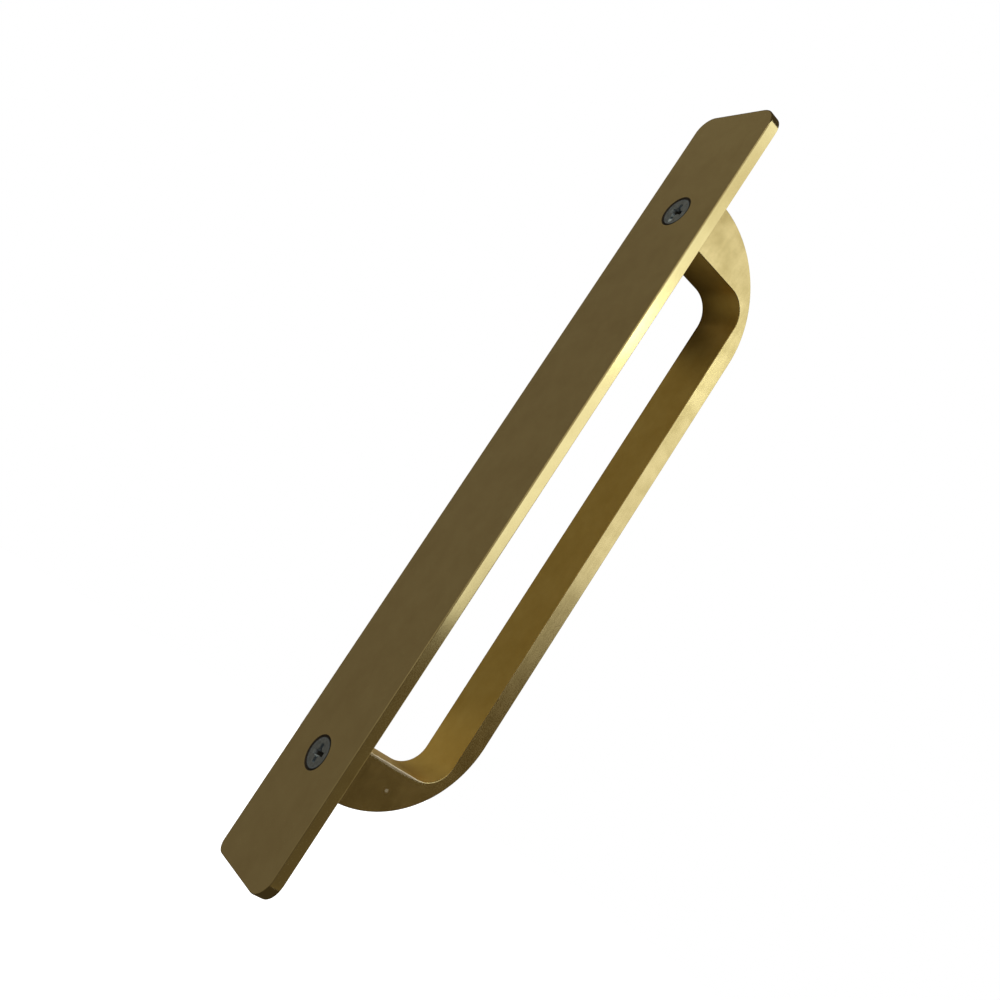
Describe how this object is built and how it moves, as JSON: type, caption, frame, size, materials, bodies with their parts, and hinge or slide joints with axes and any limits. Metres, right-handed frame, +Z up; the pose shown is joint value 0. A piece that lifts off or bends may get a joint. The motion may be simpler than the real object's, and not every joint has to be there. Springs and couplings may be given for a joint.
{
  "type": "pocket door pull",
  "caption": "Flat edge plate with rounded corners and a D-shaped grip loop behind it, held on by countersunk screws, for pulling a pocket door by its edge.",
  "frame": {"origin": "centre of the edge plate's back face, which seats on the door's edge", "axes": "+Z up along the door's edge, the length of the plate; +Y from the plate's back face into the door, through the loop; +X across the plate"},
  "size_m": [0.026, 0.0312, 0.203],
  "materials": {
    "satin_brass": "satin, brushed along its length",
    "zinc_screw_steel": "dull dark zinc plating"
  },
  "bodies": {
    "root": {"edge_plate": "satin_brass", "grip_loop": "satin_brass", "upper_screw": "zinc_screw_steel", "lower_screw": "zinc_screw_steel"}
  },
  "joints": []
}
